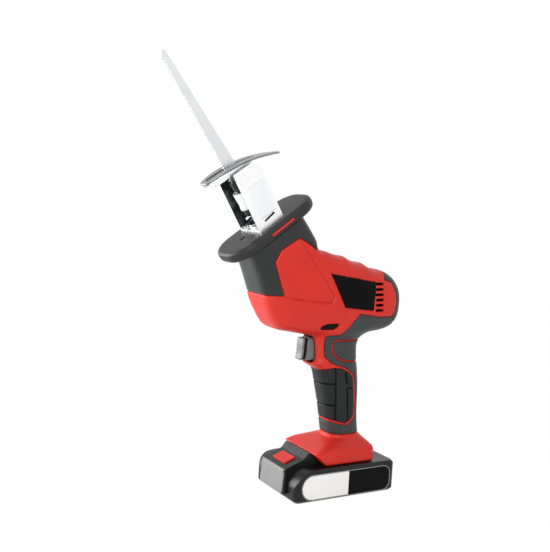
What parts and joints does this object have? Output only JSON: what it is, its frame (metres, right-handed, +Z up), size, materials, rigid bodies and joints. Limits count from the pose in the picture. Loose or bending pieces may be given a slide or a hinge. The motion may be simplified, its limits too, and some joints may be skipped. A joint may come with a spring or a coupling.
{
  "type": "reciprocating saw",
  "caption": "Cordless reciprocating saw with a pistol grip, slide-on battery pack, curved pivoting shoe and a slim toothed blade driven by a bevel gear and crank.",
  "frame": {"origin": "middle of the battery pack's underside, on the surface the saw stands on", "axes": "+X forward, towards the blade side; +Y to the left side of the saw; +Z up, along the handle and the blade"},
  "size_m": [0.2664, 0.079, 0.4128],
  "materials": {
    "red_shell": "satin moulded",
    "grip_rubber": "soft overmould",
    "guard_rubber": "moulded rubber",
    "red_trim": "satin moulded",
    "black_panel": "semi-gloss",
    "white_label": "semi-gloss",
    "case_alloy": "die cast",
    "bronze": "sintered",
    "steel": "machined",
    "lamination": "stacked sheet",
    "copper": "bare copper",
    "carbon": "pressed carbon",
    "ferrite": "sintered",
    "bright_steel": "bright plated",
    "dark_steel": "blackened",
    "blade_steel": "bright satin",
    "plated_sheet": "bright zinc",
    "grey_plastic": "satin moulded",
    "black_plastic": "satin moulded",
    "pack_plastic": "fine grain",
    "cell_wrap": "film wrapped",
    "board": "lacquered"
  },
  "bodies": {
    "tool_body": {"left_housing": "red_shell", "right_housing": "red_shell", "left_grip": "grip_rubber", "right_grip": "grip_rubber", "nose_boot": "grip_rubber", "rear_cap": "grip_rubber", "front_guard": "guard_rubber", "guard_inserts": "red_trim", "name_panels": "black_panel", "housing_screws": "steel", "gear_case": "case_alloy", "gear_cover": "case_alloy", "plunger_bushes": "bronze", "front_seal": "bright_steel", "crank_bearings": "steel", "motor_can": "steel", "motor_magnets": "ferrite", "end_bell": "black_plastic", "motor_brushes": "carbon", "motor_bearings": "steel", "shoe_bracket": "plated_sheet", "bracket_screws": "steel", "shoe_rivets": "steel", "switch_body": "black_plastic", "terminal_block": "black_plastic", "terminal_blades": "copper"},
    "plunger": {"plunger": "steel", "clamp_core": "dark_steel", "clamp_pin": "steel", "blade": "blade_steel"},
    "collar": {"clamp_collar": "bright_steel"},
    "shoe": {"shoe": "plated_sheet"},
    "trigger": {"trigger": "grey_plastic"},
    "lock_button": {"lock_button": "black_plastic"},
    "crank": {"crank_hub": "steel", "crank_gear": "steel", "crank_pin": "steel"},
    "rotor": {"motor_shaft": "steel", "armature": "lamination", "windings": "copper", "commutator": "copper", "cooling_fan": "black_plastic", "pinion": "steel"},
    "battery": {"pack_tray": "pack_plastic", "pack_cover": "pack_plastic", "pack_cells": "cell_wrap", "cell_holder": "black_plastic", "cell_straps": "steel", "pack_board": "board", "front_labels": "white_label", "rear_labels": "black_panel", "pack_screws": "steel"},
    "release_button": {"release_button": "red_trim"}
  },
  "joints": [
    {"name": "stroke", "type": "slide", "parent": "tool_body", "child": "plunger", "axis": [0.5948, 0, 0.8039], "range_m": [-0.0075, 0.0075]},
    {"name": "clamp_turn", "type": "hinge", "parent": "plunger", "child": "collar", "pos_m": [0.10619, 0, 0.28981], "axis": [0.5948, 0, 0.8039], "range_deg": [0, 45], "stiffness_Nm_per_rad": 0.05, "springref_deg": -11.46},
    {"name": "shoe_pivot", "type": "hinge", "parent": "tool_body", "child": "shoe", "pos_m": [0.11755, 0, 0.31189], "axis": [0, 1, 0], "range_deg": [-10, 12]},
    {"name": "trigger_pull", "type": "slide", "parent": "tool_body", "child": "trigger", "axis": [-1, 0, 0], "range_m": [0, 0.006], "stiffness_N_per_m": 1000, "springref_m": -0.002},
    {"name": "lock_slide", "type": "slide", "parent": "tool_body", "child": "lock_button", "axis": [0, 1, 0], "range_m": [-0.003, 0.003]},
    {"name": "crank_turn", "type": "hinge", "parent": "tool_body", "child": "crank", "pos_m": [0.04254, 0, 0.2038], "axis": [0, 1, 0], "continuous": true},
    {"name": "rotor_turn", "type": "hinge", "parent": "tool_body", "child": "rotor", "pos_m": [0.04254, 0, 0.2038], "axis": [-0.9954, 0, -0.0958], "continuous": true},
    {"name": "pack_slide", "type": "slide", "parent": "tool_body", "child": "battery", "axis": [1, 0, 0], "range_m": [0, 0.07]},
    {"name": "release_press", "type": "slide", "parent": "battery", "child": "release_button", "axis": [-0.3283, 0, -0.9446], "range_m": [0, 0.0025], "stiffness_N_per_m": 800, "springref_m": -0.001}
  ],
  "couplings": [
    {"joint": "rotor_turn", "follows": "crank_turn", "ratio": 4.4444}
  ]
}
